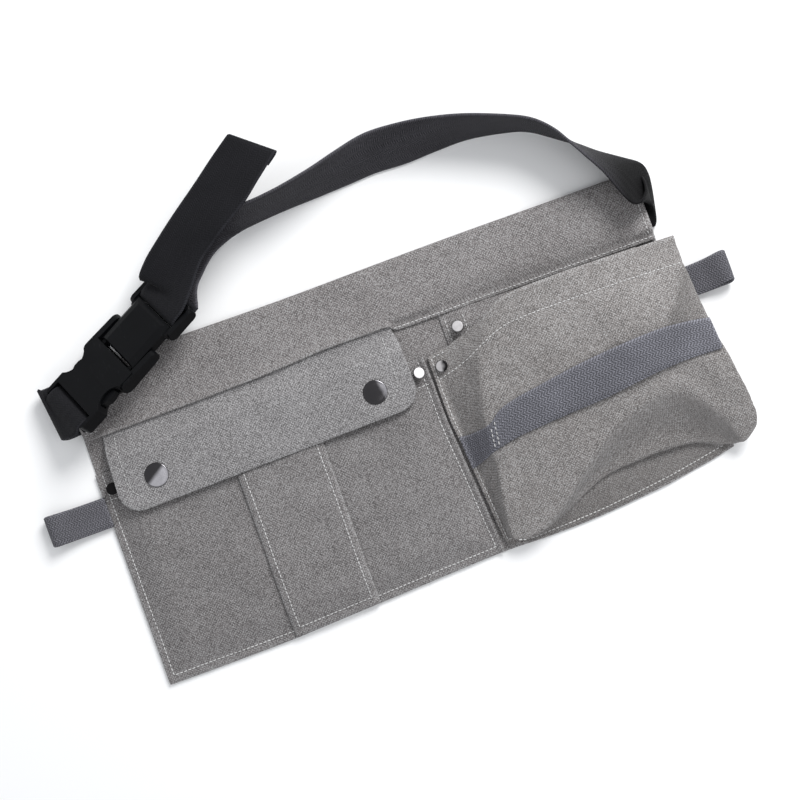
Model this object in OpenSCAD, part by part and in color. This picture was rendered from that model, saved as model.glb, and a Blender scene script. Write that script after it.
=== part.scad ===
// Waist tool belt: a canvas back panel with a riveted flat pocket, a snap-down flap,
// a bellows pouch and two webbing loops, hung on a 38 mm belt with a side-release buckle.
// It lies on its back: X runs along the waist, Y runs up to the waistband, Z points out
// of the front. The origin is on the rear face of the back panel, at its middle.
// All sizes are in millimetres.

/* [Canvas] */
// Thickness of one layer of canvas
canvas_t = 1.2; // [0.8:0.1:1.3]
// Width of the waistband along the waist
band_w = 422; // [418:1:424]
// Height of the flat pocket's front above its own edges
pocket_rise = 6; // [5.6:0.1:6.2]
// Height of the waistband tunnel above the ground
band_rise = 6.4; // [6.2:0.1:6.6]

/* [Flap] */
// Width of the flap along the waist
flap_w = 211; // [205:1:212]
// Y of the flap's lower left corner, before it is rounded
flap_low = 11.5; // [9:0.5:13]
// Radius of the flap's lower corners
flap_corner_r = 15; // [8:1:20]
// Thickness of each of the flap's two layers
flap_t = 1; // [0.8:0.1:1]

/* [Snaps and rivets] */
// Diameter of the snap caps
snap_d = 17; // [14:0.5:18]
// Diameter of the rivet caps
rivet_d = 8.6; // [7:0.2:9]

/* [Webbing] */
// Width of the waist strap
strap_w = 38; // [37:0.5:38]
// Thickness of the waist strap
strap_t = 2; // [1.6:0.1:2]
// Width of the grey webbing of the two loops
loop_w = 21; // [19:0.5:24]
// Width of the grey webbing across the pouch
pouch_web_w = 24; // [20:0.5:25]
// Thickness of the grey webbing
loop_t = 1.4; // [1.2:0.1:1.4]

/* [Buckle] */
// Width of the buckle over its sides
buckle_w = 44; // [43:0.5:45]
// Thickness of the buckle
buckle_t = 12; // [11:0.5:12.5]
// Direction of the buckle in plan, turned from the waist line
buckle_turn = 28; // [26:1:30]
// Roll of the buckle about its own length, near side up
buckle_roll = 28; // [27:1:29]

/* [Hidden] */
$fn = 48;

canvas_grey = [0.55, 0.54, 0.54];
flap_grey = [0.64, 0.63, 0.64];
webbing_grey = [0.44, 0.44, 0.48];
webbing_black = [0.13, 0.13, 0.15];
buckle_black = [0.10, 0.10, 0.11];
metal_grey = [0.40, 0.39, 0.42];
rivet_grey = [0.75, 0.74, 0.75];

panel_top = canvas_t;
pocket_front = canvas_t + pocket_rise;
seam_y = 66;
band_top_y = 113.2;
band_x0 = -band_w / 2;
band_x1 = band_w / 2;

// Flap: hinge line under the waistband's seam, and the plane of the closed flap
hinge_y = 65.2;
hinge_z = 4.4;
flap_back = 10.2;
flap_x0 = -198;
flap_x1 = flap_x0 + flap_w;
snap_places = [[-173, 28.5], [-9, 29.5]];

// Rivets: place and height of the layer that each one clamps
rivet_places = [
  [-203.5, 29, pocket_front],
  [23, 32, pocket_front],
  [39, 31, 5.7],
  [60, 53, pocket_front],
  [187, 53, pocket_front]];

// Waist strap: the tunnel's middle line
strap_mid_y = 91.3;
strap_mid_z = 3;
strap_far_y = strap_mid_y + strap_w / 2;
strap_near_y = strap_mid_y - strap_w / 2;
tunnel_strap_x = 196;

// Buckle: middle of its female end, on the buckle's own centre line
buckle_at = [-211.9, 87.8, 22.4];

// ---------- small helpers ----------

function flat(rows) = [for (row = rows) for (p = row) p];
function unit(v) = v / norm(v);
function mix(a, b, t) = a + (b - a) * t;

// Point at parameter t, 0 to 1, on a path of evenly counted points
function along(path, t) =
  let (s = min(t, 0.9999) * (len(path) - 1), i = floor(s))
  mix(path[i], path[i + 1], s - i);

// Closed skin between two grids of points of the same size
module skin(upper, lower) {
  rows = len(upper);
  cols = len(upper[0]);
  n = rows * cols;
  top = [for (i = [0:rows - 2]) for (j = [0:cols - 2])
    let (a = i * cols + j, b = a + cols)
    each [[a, b + 1, b], [a, a + 1, b + 1]]];
  bottom = [for (f = top) [f[2] + n, f[1] + n, f[0] + n]];
  start = [for (j = [0:cols - 2]) each [[j, j + n, j + 1 + n], [j, j + 1 + n, j + 1]]];
  last = (rows - 1) * cols;
  end = [for (j = [0:cols - 2])
    let (a = last + j)
    each [[a, a + 1 + n, a + n], [a, a + 1, a + 1 + n]]];
  low = [for (i = [0:rows - 2])
    let (a = i * cols, b = a + cols)
    each [[a, b, b + n], [a, b + n, a + n]]];
  high = [for (i = [0:rows - 2])
    let (a = i * cols + cols - 1, b = a + cols)
    each [[a, b + n, b], [a, a + n, b + n]]];
  polyhedron(points = concat(flat(upper), flat(lower)),
    faces = concat(top, bottom, start, end, low, high), convexity = 10);
}

// Unit normal of a grid at row i and column j
function grid_normal(g, i, j) =
  let (
    i0 = max(i - 1, 0),
    i1 = min(i + 1, len(g) - 1),
    j0 = max(j - 1, 0),
    j1 = min(j + 1, len(g[0]) - 1))
  unit(cross(g[i1][j] - g[i0][j], g[i][j1] - g[i][j0]));

function offset_grid(g, d) =
  [for (i = [0:len(g) - 1]) [for (j = [0:len(g[0]) - 1]) g[i][j] + grid_normal(g, i, j) * d]];

// Sheet of thickness t on a grid, t/2 to each side
module sheet(g, t) {
  skin(offset_grid(g, t / 2), offset_grid(g, -t / 2));
}

// Flat-sided soft box: a lower outline drawn in to a smaller upper outline
module soft_box(lower, upper, z0, z1) {
  lip = 0.4;
  hull() {
    translate([0, 0, z0]) linear_extrude(lip) polygon(lower);
    translate([0, 0, z1 - lip]) linear_extrude(lip) polygon(upper);
  }
}

// Draws children, given as a Y-Z section, from x0 to x1
module along_x(x0, x1) {
  translate([x0, 0, 0]) rotate([90, 0, 90]) linear_extrude(x1 - x0) children();
}

// Draws children, given as an X-Z section, from y0 to y1
module along_y(y0, y1) {
  translate([0, y1, 0]) rotate([90, 0, 0]) linear_extrude(y1 - y0) children();
}

// Puts children at each place of a list, at height z
module at_places(places, z) {
  for (p = places) translate([p[0], p[1], z]) children();
}

// ---------- back panel and waistband ----------

module back_panel() {
  recess_d = rivet_d;
  recess_t = 0.7;
  color(canvas_grey) difference() {
    linear_extrude(canvas_t) polygon([
      [-212, seam_y], [-213.5, -113.5], [33, -105.5], [110, -105], [155, -101],
      [214, -91], [213.5, 0], [211, seam_y]]);
    for (p = rivet_places) translate([p[0], p[1], -1]) {
      cylinder(d = recess_d, h = 1 + recess_t);
      cylinder(d = 3.6, h = 1 + 2 * canvas_t);
    }
  }
}

module waistband() {
  t = canvas_t;
  z = band_rise;
  y = band_top_y;
  color(canvas_grey) along_x(band_x0, band_x1) difference() {
    polygon([[seam_y, 0], [seam_y, 2.6], [69, 3], [71.3, z], [y - 2, z], [y, z - 1.6],
      [y, 1.6], [y - 1.2, 0]]);
    polygon([[70.2, t], [70.2, 2.2], [72, z - t], [y - 2.4, z - t], [y - t, z - 2.2],
      [y - t, 1.9], [y - 1.8, t]]);
  }
}

// ---------- left pocket ----------

module left_pocket() {
  t = canvas_t;
  color(canvas_grey) difference() {
    soft_box([[-212.5, 41], [-213, -113], [37.5, -105], [30.5, 41]],
      [[-207, 41], [-207.5, -107.5], [32, -100], [26, 41]], panel_top, pocket_front);
    soft_box([[-210, 43], [-210.5, -110.5], [35, -102.5], [28, 43]],
      [[-206.4, 43], [-206.9, -106.9], [31.3, -99.3], [25.4, 43]],
      panel_top - 0.6, pocket_front - t);
    at_places([rivet_places[0], rivet_places[1]], 0) cylinder(d = 3.6, h = 20);
    at_places(snap_places, 0) cylinder(d = 3.4, h = 20);
  }
}

module centre_strip() {
  color(canvas_grey) translate([0, 0, pocket_front]) linear_extrude(2)
    polygon([[-118, 38], [-118.5, -111.4], [-56, -109], [-55, 38]]);
}

// ---------- flap ----------

module flap_outline() {
  offset(r = flap_corner_r) offset(delta = -flap_corner_r)
    polygon([[flap_x0, flap_low], [flap_x1, flap_low + 3.5], [flap_x1, 120], [flap_x0, 120]]);
}

// One layer of the flap, lying on the plane z = back when it is closed
module flap_layer(back, root, t) {
  intersection() {
    along_x(flap_x0 - 5, flap_x1 + 5) polygon([
      [hinge_y, root], [60, root + 2.4], [54, back], [0, back],
      [0, back + t], [53.6, back + t], [59.6, root + 2.4 + t], [hinge_y, root + t]]);
    linear_extrude(40) flap_outline();
  }
}

module flap() {
  color(flap_grey) difference() {
    flap_layer(flap_back + flap_t, hinge_z, flap_t);
    at_places(snap_places, 0) cylinder(d = 3.4, h = 20);
  }
}

module flap_lining() {
  color(canvas_grey) difference() {
    flap_layer(flap_back, hinge_z - flap_t, flap_t);
    at_places(snap_places, 0) cylinder(d = 3.4, h = 20);
  }
}

// ---------- snap fasteners ----------

// Domed cap with the post that passes through both layers of the flap
module snap_caps() {
  face = flap_back + 2 * flap_t;
  color(metal_grey) at_places(snap_places, 0) {
    translate([0, 0, face]) rotate_extrude() polygon([
      [0, 0], [snap_d / 2, 0], [snap_d / 2, 0.9], [snap_d / 2 - 0.9, 1.7],
      [snap_d / 4, 2.1], [0, 2.2]]);
    translate([0, 0, flap_back]) cylinder(d = 3, h = face - flap_back + 0.2);
  }
}

// Ring socket under the flap
module snap_sockets() {
  color(metal_grey) at_places(snap_places, 8.3) difference() {
    cylinder(d = 12, h = flap_back - 8.3);
    translate([0, 0, -1]) cylinder(d = 6, h = flap_back - 8.3 + 0.6);
  }
}

// Ball stud on the pocket front
module snap_studs() {
  color(metal_grey) at_places(snap_places, pocket_front) rotate_extrude()
    polygon([[0, 0], [5.5, 0], [5.5, 0.6], [5, 0.8], [1.8, 0.8], [2.3, 1.5],
      [2, 2.3], [0, 2.4]]);
}

// Post and rear flange that hold the stud from inside the pocket
module snap_posts() {
  color(metal_grey) at_places(snap_places, pocket_front - canvas_t - 0.7) {
    cylinder(d = 11, h = 0.7);
    cylinder(d = 3, h = canvas_t + 0.7);
  }
}

// ---------- inner pocket ----------

module inner_pocket() {
  t = canvas_t;
  color(canvas_grey) difference() {
    soft_box([[51, 61], [51, -45], [196, -45], [196, 61]],
      [[56, 61], [56, -40], [191, -40], [191, 61]], panel_top, pocket_front);
    soft_box([[53.5, 63], [53.5, -42.5], [193.5, -42.5], [193.5, 63]],
      [[56.6, 63], [56.6, -39.4], [190.4, -39.4], [190.4, 63]],
      panel_top - 0.6, pocket_front - t);
    at_places([rivet_places[3], rivet_places[4]], 0) cylinder(d = 3.6, h = 20);
  }
}

// ---------- bellows pouch ----------

// The pouch's gusset, from its sewn foot over the fold to the ridge of the front.
// Each row is foot, fold and ridge: down the left side, along the bottom, up the right.
gusset_rows = [
  [[36, 41, 2.4], [48, 42, 5], [79, 52, 19.5]],
  [[35.5, 20, 2.4], [47, 20, 7], [69, 28, 22.5]],
  [[36, -5, 2.4], [46, -5, 12], [60, -5, 23]],
  [[37, -30, 2.4], [45, -30, 12], [53, -30, 22.5]],
  [[39, -55, 2.4], [46, -54, 12], [54, -52, 19.5]],
  [[41, -80, 2.4], [45, -79, 9], [50, -78, 15.5]],
  [[43, -99, 2.4], [44, -98, 6.5], [46, -97, 10.5]],
  [[62, -102, 2.4], [62, -101, 6.5], [62, -99, 13]],
  [[86, -101.5, 2.4], [88, -93, 6], [84, -91, 17.5]],
  [[115, -100, 2.4], [118, -80, 6], [114, -68, 23.5]],
  [[140, -98, 2.4], [143, -77, 6], [138, -51, 28.5]],
  [[165, -94.5, 2.4], [166, -77, 6], [160, -42, 31.5]],
  [[185, -91, 2.4], [186, -80, 6], [186, -58, 24.5]],
  [[199, -88, 2.4], [202, -84, 7], [204, -76, 18.5]],
  [[210, -84, 2.4], [215, -85, 8], [221, -86, 12.5]],
  [[211, -60, 2.4], [220, -62, 12], [230, -66, 19.5]],
  [[211, -35, 2.4], [217, -36, 14], [225, -36, 26.5]],
  [[211, -10, 2.4], [215, -10, 14], [221, -8, 28.5]],
  [[211, 15, 2.4], [214, 15, 13], [220, 18, 24.5]],
  [[211, 41, 2.4], [214, 42, 9], [220, 45, 17.5]]];

// Upper edge of the pouch front, from left to right
mouth_edge = [[79, 52, 21], [92, 59, 23], [106, 62, 25], [122, 62, 26], [140, 62, 26],
  [160, 61.5, 25], [180, 61, 23], [200, 60.5, 19], [220, 60, 15]];

seam_gap = [0, 0, 1.6];
left_edge = [for (i = [6:-1:0]) gusset_rows[i][2] + seam_gap];
bottom_edge = [for (i = [6:14]) gusset_rows[i][2] + seam_gap];
right_edge = concat([for (i = [14:19]) gusset_rows[i][2] + seam_gap], [mouth_edge[8]]);
front_bulge = -3;

// Point of the pouch front at u across and v up, each 0 to 1
function front_pt(u, v) =
  let (
    across = mix(along(bottom_edge, u), along(mouth_edge, u), v),
    up = mix(along(left_edge, v), along(right_edge, v), u),
    corners = mix(
      mix(bottom_edge[0], bottom_edge[8], u), mix(mouth_edge[0], mouth_edge[8], u), v))
  across + up - corners + [0, 0, front_bulge * sin(180 * u) * sin(180 * v)];

module pouch_front() {
  across = 16;
  up = 12;
  grid = [for (i = [0:across]) [for (j = [0:up]) front_pt(i / across, j / up)]];
  shift = [0, 0, canvas_t / 2];
  color(canvas_grey) skin(
    [for (row = grid) [for (p = row) p + shift]],
    [for (row = grid) [for (p = row) p - shift]]);
}

module pouch_gusset() {
  rows = [for (r = gusset_rows) [r[0], mix(r[0], r[1], 0.5), r[1], mix(r[1], r[2], 0.5), r[2]]];
  color(canvas_grey) difference() {
    sheet(rows, canvas_t);
    at_places([rivet_places[2]], 0) cylinder(d = 3.6, h = 20);
  }
}

// Webbing across the pouch front, from the left seam over the ridge to the right edge
module pouch_band() {
  half = pouch_web_w / 2 / 150;
  lift = [0, 0, 2.7];
  steps = 16;
  start = [
    [[38.5, -43, 6.4], [38, -32, 6.4], [37.5, -20.5, 6.4]],
    [[43.5, -41.5, 14.5], [43.2, -30, 14.5], [43, -19, 14.5]]];
  over = [for (i = [0:steps])
    let (u = i / steps, v = 0.46 + 0.06 * u)
    [for (s = [-1, 0, 1]) front_pt(u, v + s * half) + lift]];
  color(webbing_grey) sheet(concat(start, over), loop_t);
}

// ---------- webbing loops ----------

// Teardrop loop that points along +X from its sewn root at the origin
module loop_shape(reach) {
  end_r = 4.7;
  wall = loop_t;
  along_y(-loop_w / 2, loop_w / 2) difference() {
    hull() {
      translate([0, -1.4]) square([2, 2.8]);
      translate([reach - end_r, end_r - 1.4]) circle(end_r);
    }
    hull() {
      translate([10, -0.2]) square([0.5, 0.5]);
      translate([reach - end_r, end_r - 1.4]) circle(end_r - wall);
    }
  }
}

module left_loop() {
  color(webbing_grey) translate([-215, 14.5, 1.8]) mirror([1, 0, 0]) loop_shape(42);
}

module right_loop() {
  color(webbing_grey) translate([215, 28.5, 1.8]) loop_shape(39);
}

// ---------- waist strap ----------

// Each station of the strap is its far edge and its near edge.

module strap_in_band() {
  color(webbing_black) translate([-tunnel_strap_x, strap_near_y, strap_mid_z - strap_t / 2])
    cube([2 * tunnel_strap_x, strap_w, strap_t]);
}

// Point of the buckle's own frame: x along it, y across, z out of its face
function on_buckle(p) =
  let (
    ct = cos(buckle_turn),
    st = sin(buckle_turn),
    cr = cos(buckle_roll),
    sr = sin(buckle_roll))
  buckle_at + p[0] * [ct, st, 0] + p[1] * [-st * cr, ct * cr, -sr] + p[2] * [-st * sr, ct * sr, cr];

function buckle_station(x, z) =
  [on_buckle([x, strap_w / 2, z]), on_buckle([x, -strap_w / 2, z])];

// Left end: out of the tunnel, back over itself, round the buckle's bar and sewn down
stub_route = [
  [[-tunnel_strap_x, strap_far_y, strap_mid_z], [-tunnel_strap_x, strap_near_y, strap_mid_z]],
  [[-212, strap_far_y, 3], [-212, strap_near_y, 3]],
  [[-221, 110, 3.6], [-218, 72, 4.4]],
  [[-226.5, 109.5, 7], [-221, 72, 9.5]],
  [[-227.5, 110, 13], [-221.5, 72.5, 20]],
  buckle_station(-6, 0.5),
  buckle_station(-1, 4),
  buckle_station(4.5, 4.6),
  buckle_station(8.4, 2.6),
  buckle_station(9.2, 0),
  buckle_station(8.4, -2.6),
  buckle_station(4.5, -4.6),
  buckle_station(-0.5, -3.6)];

module strap_stub() {
  color(webbing_black) sheet(stub_route, strap_t);
}

// Right end: out of the tunnel, folded up on its edge, and round behind the belt
arc_route = [
  [[tunnel_strap_x, strap_far_y, strap_mid_z], [tunnel_strap_x, strap_near_y, strap_mid_z]],
  [[211.5, strap_far_y, 3.2], [212, strap_near_y, 3]],
  [[217, 107, 9], [215.5, 73, 2.4]],
  [[214.5, 98.5, 18], [218, 77, 1.4]],
  [[207, 91.5, 24], [222, 87, 1]],
  [[200.5, 91.5, 27], [224.5, 98, 1]],
  [[196, 98.5, 27.5], [224.5, 107.5, 1]],
  [[193, 107, 28.5], [221.5, 116, 1]],
  [[188.5, 117.5, 31], [212, 125, 1]],
  [[180.5, 130.5, 35], [197, 135.5, 1]],
  [[173, 143, 37], [184.5, 145, 1]],
  [[165, 155, 38], [170, 154.5, 1]],
  [[154, 166, 38], [155, 164, 1]],
  [[139, 174, 38], [141, 169, 1]],
  [[112, 185, 36], [113, 174, 1]],
  [[88, 192, 33], [89, 174, 1]],
  [[66, 196, 30], [66, 173, 1]],
  [[43, 197, 29], [44, 174, 1]],
  [[21, 192, 32], [24, 173, 1]],
  [[-1, 186, 35], [1, 172, 1]],
  [[-28, 181, 36], [-27, 171, 1]],
  [[-52, 180, 34], [-52, 169, 1]],
  [[-66, 186, 29], [-62, 167, 2]],
  [[-83, 192, 20], [-72.5, 163.5, 5]],
  [[-97, 186, 13], [-83, 157.5, 10]],
  [[-110, 175, 9], [-92, 148.2, 16]],
  [[-117, 164, 8.5], [-99.5, 138, 22.5]],
  buckle_station(113.4, -5)];

module strap_arc() {
  color(webbing_black) sheet(arc_route, strap_t);
}

// Under the ladder lock, up through its inner slot, back over its bars and off as the tail
tail_route = [
  buckle_station(113, -5),
  buckle_station(108, -5.2),
  buckle_station(99.6, -5.2),
  buckle_station(95.6, -4.2),
  buckle_station(94, -2),
  buckle_station(93.8, 0),
  buckle_station(94, 2),
  buckle_station(95.6, 4.2),
  buckle_station(99.6, 5.3),
  buckle_station(106.5, 6.4),
  [[-133.5, 157.5, 23], [-103, 135.5, 36]],
  [[-125, 167, 27], [-90, 152, 36]],
  [[-112, 177, 30], [-79, 160, 38]],
  [[-97, 188, 32], [-68, 167, 41]],
  [[-74, 204, 34], [-48, 179, 43]],
  [[-59, 215, 35], [-34, 190, 44]],
  [[-43, 226, 36], [-17, 203, 45]]];

module strap_tail() {
  color(webbing_black) sheet(tail_route, strap_t);
}

// ---------- side-release buckle ----------

module place_buckle() {
  translate(buckle_at) rotate([0, 0, buckle_turn]) rotate([-buckle_roll, 0, 0]) children();
}

female_len = 52;
cavity_half_t = 3.6;
cavity_half_w = 19;
notch_x = 29;
notch_r = 14;
prong_pivot = [58.5, 15.5];

module notches(depth) {
  for (s = [-1, 1]) translate([notch_x, s * (buckle_w / 2 + notch_r - depth)]) circle(notch_r);
}

// Rounded rail along each side of the buckle, from x0 to x1 and w wide
module rail(x0, x1, r0, r1, y0, w) {
  for (s = [-1, 1]) translate([0, s * (y0 + w / 2) + w / 2, 0]) rotate([90, 0, 0])
    linear_extrude(w) hull() {
      translate([x0 + r0, 0]) circle(r0);
      translate([x1 - r1, 0]) circle(r1);
    }
}

module buckle_female() {
  half = buckle_t / 2;
  bar_x = 4.5;
  slot_half_w = 19.4;
  end_r = 4;
  color(buckle_black) place_buckle() {
    difference() {
      translate([0, 0, -half]) linear_extrude(buckle_t) difference() {
        offset(r = end_r) offset(delta = -end_r) translate([0, -buckle_w / 2])
          square([female_len + end_r, buckle_w]);
        translate([female_len, -buckle_w]) square([2 * end_r, 2 * buckle_w]);
        notches(5.5);
      }
      translate([13, -cavity_half_w, -cavity_half_t])
        cube([female_len, 2 * cavity_half_w, 2 * cavity_half_t]);
      translate([-1, -slot_half_w, -half - 1]) cube([12.4, 2 * slot_half_w, buckle_t + 2]);
    }
    translate([bar_x, buckle_w / 2 - 1, 0]) rotate([90, 0, 0]) cylinder(r = 2.3, h = buckle_w - 2);
    rail(38, 73, 5.7, 4.4, 19.6, 4.2);
  }
}

module buckle_male() {
  low = 3.2;
  lid_z = 3.5;
  top = 5.8;
  front_x = 54.3;
  color(buckle_black) place_buckle() {
    difference() {
      union() {
        translate([0, 0, -low]) linear_extrude(low + lid_z) polygon([
          [front_x, -12.2], [57.2, -12.2], [58.6, -17.6], [85, -17.6],
          [85, 17.6], [58.6, 17.6], [57.2, 12.2], [front_x, 12.2]]);
        translate([0, 0, -lid_z]) linear_extrude(2 * lid_z) offset(r = 2)
          offset(delta = -2) polygon([[84, -19], [88, -21.6], [106, -21.6], [110.6, -18],
            [110.6, 18], [106, 21.6], [88, 21.6], [84, 19]]);
        hull() {
          translate([front_x, -18.2, lid_z - 0.3]) cube([91.8 - front_x, 36.4, 0.6]);
          translate([front_x + 0.8, -16.4, top - 1.1]) cube([90.4 - front_x - 0.8, 32.8, 0.3]);
          translate([front_x + 1.4, -13, top - 0.3]) cube([88.4 - front_x - 1.4, 26, 0.3]);
        }
      }
      for (s = [-1, 1]) translate([prong_pivot[0], s * prong_pivot[1], -10])
        cylinder(r = 2.3, h = 10 + lid_z);
      for (s = [-1, 1]) translate([front_x - 1, s * 15.7 - 3.5, -10])
        cube([4.6, 7, 10 + lid_z]);
      translate([92, -19.6, -10]) cube([4.8, 39.2, 20]);
      translate([104, -19.6, -10]) cube([3.4, 39.2, 20]);
    }
    rail(85.5, 110.4, 4.6, 4.2, 19.8, 3.4);
  }
}

// Sprung arm of the male half: a slim neck with the thumb pad that shows in the notch
module prong() {
  color(buckle_black) translate([0, 0, -3.1]) {
    linear_extrude(6.2) polygon([[58.5, 14], [38, 14], [36, 13], [21, 13], [19, 14.5],
      [19.5, 17], [23, 19], [27, 20.6], [31, 20.6], [35, 19.4], [36, 17], [58.5, 17]]);
    translate(prong_pivot) cylinder(r = 1.8, h = 6.2);
  }
}

module prong_left() {
  place_buckle() prong();
}

module prong_right() {
  place_buckle() mirror([0, 1, 0]) prong();
}

// ---------- rivets ----------

module rivet_caps() {
  r = rivet_d / 2;
  color(rivet_grey) for (p = rivet_places) translate(p)
    rotate_extrude() polygon([[0, 0], [r, 0], [r, 0.7], [r - 0.6, 1.4], [r / 2, 1.7], [0, 1.8]]);
}

// Post and flush rear cap of each rivet
module rivet_backs() {
  color(rivet_grey) for (p = rivet_places) translate([p[0], p[1], 0]) {
    cylinder(d = rivet_d - 0.5, h = 0.6);
    cylinder(d = 3, h = p[2]);
  }
}

back_panel();
waistband();
left_pocket();
centre_strip();
flap();
flap_lining();
snap_caps();
snap_sockets();
snap_studs();
snap_posts();
inner_pocket();
pouch_front();
pouch_gusset();
pouch_band();
left_loop();
right_loop();
strap_in_band();
strap_stub();
strap_arc();
strap_tail();
buckle_female();
buckle_male();
prong_left();
prong_right();
rivet_caps();
rivet_backs();
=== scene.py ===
"""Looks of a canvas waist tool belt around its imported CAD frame.

Lengths are in millimetres until a mesh is made.
"""
import math

import bpy
import numpy as np
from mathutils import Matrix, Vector
from mathutils.bvhtree import BVHTree


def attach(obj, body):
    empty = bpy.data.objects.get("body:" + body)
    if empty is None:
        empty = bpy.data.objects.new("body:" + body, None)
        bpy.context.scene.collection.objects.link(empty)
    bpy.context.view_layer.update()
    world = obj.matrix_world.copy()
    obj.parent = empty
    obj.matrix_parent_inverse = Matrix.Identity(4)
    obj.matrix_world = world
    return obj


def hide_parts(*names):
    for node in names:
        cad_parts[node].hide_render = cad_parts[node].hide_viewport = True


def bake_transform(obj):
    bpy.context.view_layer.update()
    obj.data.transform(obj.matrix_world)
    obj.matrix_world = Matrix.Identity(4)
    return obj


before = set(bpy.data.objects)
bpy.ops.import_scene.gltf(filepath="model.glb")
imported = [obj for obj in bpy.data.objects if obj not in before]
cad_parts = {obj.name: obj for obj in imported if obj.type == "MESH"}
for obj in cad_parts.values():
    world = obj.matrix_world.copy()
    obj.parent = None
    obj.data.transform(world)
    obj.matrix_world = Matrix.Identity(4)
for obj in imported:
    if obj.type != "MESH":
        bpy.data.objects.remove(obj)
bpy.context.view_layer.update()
MM = 0.001

# ---------- camera, light and floor ----------

VIEW_X, VIEW_Y, VIEW_Z = 5.3, 18.6, 1000
PICTURE_W = 560  # width of the floor that the camera sees
SENSOR = 36
camera_data = bpy.data.cameras.new("camera")
camera_data.sensor_width = SENSOR
camera_data.lens = SENSOR * VIEW_Z / PICTURE_W
camera = bpy.data.objects.new("camera", camera_data)
camera.location = (VIEW_X * MM, VIEW_Y * MM, VIEW_Z * MM)
camera.rotation_euler = (0, 0, math.radians(-20))
bpy.context.scene.collection.objects.link(camera)
bpy.context.scene.camera = camera

scene = bpy.context.scene
scene.view_settings.view_transform = "Standard"
world = bpy.data.worlds.new("studio")
world.use_nodes = True
world.node_tree.nodes["Background"].inputs["Color"].default_value = (0.95, 0.97, 1.0, 1)
world.node_tree.nodes["Background"].inputs["Strength"].default_value = 0.68
scene.world = world


def softbox(name, place, target, size, power):
    """Area light at place, in metres, facing target"""
    data = bpy.data.lights.new(name, "AREA")
    data.shape = "DISK"
    data.size = size
    data.energy = power
    lamp = bpy.data.objects.new(name, data)
    lamp.location = place
    aim = Vector(target) - Vector(place)
    lamp.rotation_euler = aim.to_track_quat("-Z", "Y").to_euler()
    scene.collection.objects.link(lamp)


LAMP_SIZE, KEY_POWER, CARD_POWER = 0.8, 24.5, 1.6
softbox("key", (0.85, 0.95, 1.05), (0, 0, 0), LAMP_SIZE, KEY_POWER)
softbox("card", (0.5, -0.62, 1.35), (0, 0, 0), LAMP_SIZE, CARD_POWER)


# ---------- numbers ----------

def smooth(low, high, x):
    t = np.clip((x - low) / (high - low), 0, 1)
    return t * t * (3 - 2 * t)


def bell(d, width):
    return np.exp(-(d / width) ** 2)


def ripple(x, y, size, seed):
    """Smooth bumps about size across, from about -1 to 1"""
    total = 0
    for k in range(5):
        turn = 2.4 * k + 1.7 * seed
        f = 2 * math.pi / (size * (0.75 + 0.19 * k))
        total = total + np.sin(f * (x * math.cos(turn) + y * math.sin(turn)) + 3.1 * k * seed)
    return total / 3.2


def lengths(path):
    return np.r_[0, np.cumsum(np.linalg.norm(np.diff(path, axis=0), axis=1))]


def at_lengths(at, d, p):
    """Points of any shape, picked at lengths at where p lies at lengths d"""
    flat = p.reshape(len(p), -1)
    return np.stack([np.interp(at, d, q) for q in flat.T], 1).reshape(len(at), *p.shape[1:])


def resample(path, n):
    """n points evenly spaced along a path"""
    p = np.array(path, float)
    d = lengths(p)
    return at_lengths(np.linspace(0, d[-1], n), d, p)


def spline(points, per=16):
    """Smooth curve through points of any number of coordinates"""
    p = np.array(points, float)
    shape = p.shape[1:]
    p = p.reshape(len(p), -1)
    p = np.vstack([2 * p[0] - p[1], p, 2 * p[-1] - p[-2]])
    s = np.linspace(0, len(points) - 1, per * (len(points) - 1) + 1)
    i = np.minimum(s.astype(int), len(points) - 2)
    f = (s - i)[:, None]
    a, b, c, d = p[i], p[i + 1], p[i + 2], p[i + 3]
    q = 0.5 * (2 * b + (c - a) * f + (2 * a - 5 * b + 4 * c - d) * f ** 2 + (3 * b - a - 3 * c + d) * f ** 3)
    return q.reshape((len(q),) + shape)


def patch(bottom, top, left, right, nu, nv):
    """Grid filling four edges: bottom and top from left to right, left and right from bottom to top"""
    b, t, l, r = resample(bottom, nu), resample(top, nu), resample(left, nv), resample(right, nv)
    u = np.linspace(0, 1, nu)[:, None, None]
    v = np.linspace(0, 1, nv)[None, :, None]
    corners = (1 - u) * (1 - v) * b[0] + u * (1 - v) * b[-1] + (1 - u) * v * t[0] + u * v * t[-1]
    return (1 - v) * b[:, None] + v * t[:, None] + (1 - u) * l[None] + u * r[None] - corners


def far_from(x, y, path):
    """Distance of each point to a polyline in plan"""
    best = np.full(np.shape(x), 1e9)
    for (ax, ay), (bx, by) in zip(path[:-1], path[1:]):
        dx, dy = bx - ax, by - ay
        t = np.clip(((x - ax) * dx + (y - ay) * dy) / max(dx * dx + dy * dy, 1e-9), 0, 1)
        best = np.minimum(best, np.hypot(x - ax - t * dx, y - ay - t * dy))
    return best


def arc(cx, cy, r, a0, a1, n=10):
    angles = np.linspace(a0, a1, n)
    return [(cx + r * math.cos(math.radians(a)), cy + r * math.sin(math.radians(a))) for a in angles]


# ---------- meshes ----------

def quads(i):
    """Faces between the points of a grid of indices"""
    return np.stack([i[:-1, :-1], i[1:, :-1], i[1:, 1:], i[:-1, 1:]], -1).reshape(-1, 4)


def grid_faces(n, m):
    return quads(np.arange(n * m).reshape(n, m))


def vertex_normals(v, f):
    n = np.cross(v[f[:, 2]] - v[f[:, 0]], v[f[:, 3]] - v[f[:, 1]])
    total = np.zeros_like(v)
    for k in range(4):
        np.add.at(total, f[:, k], n)
    return total / np.maximum(np.linalg.norm(total, axis=1, keepdims=True), 1e-9)


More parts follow.
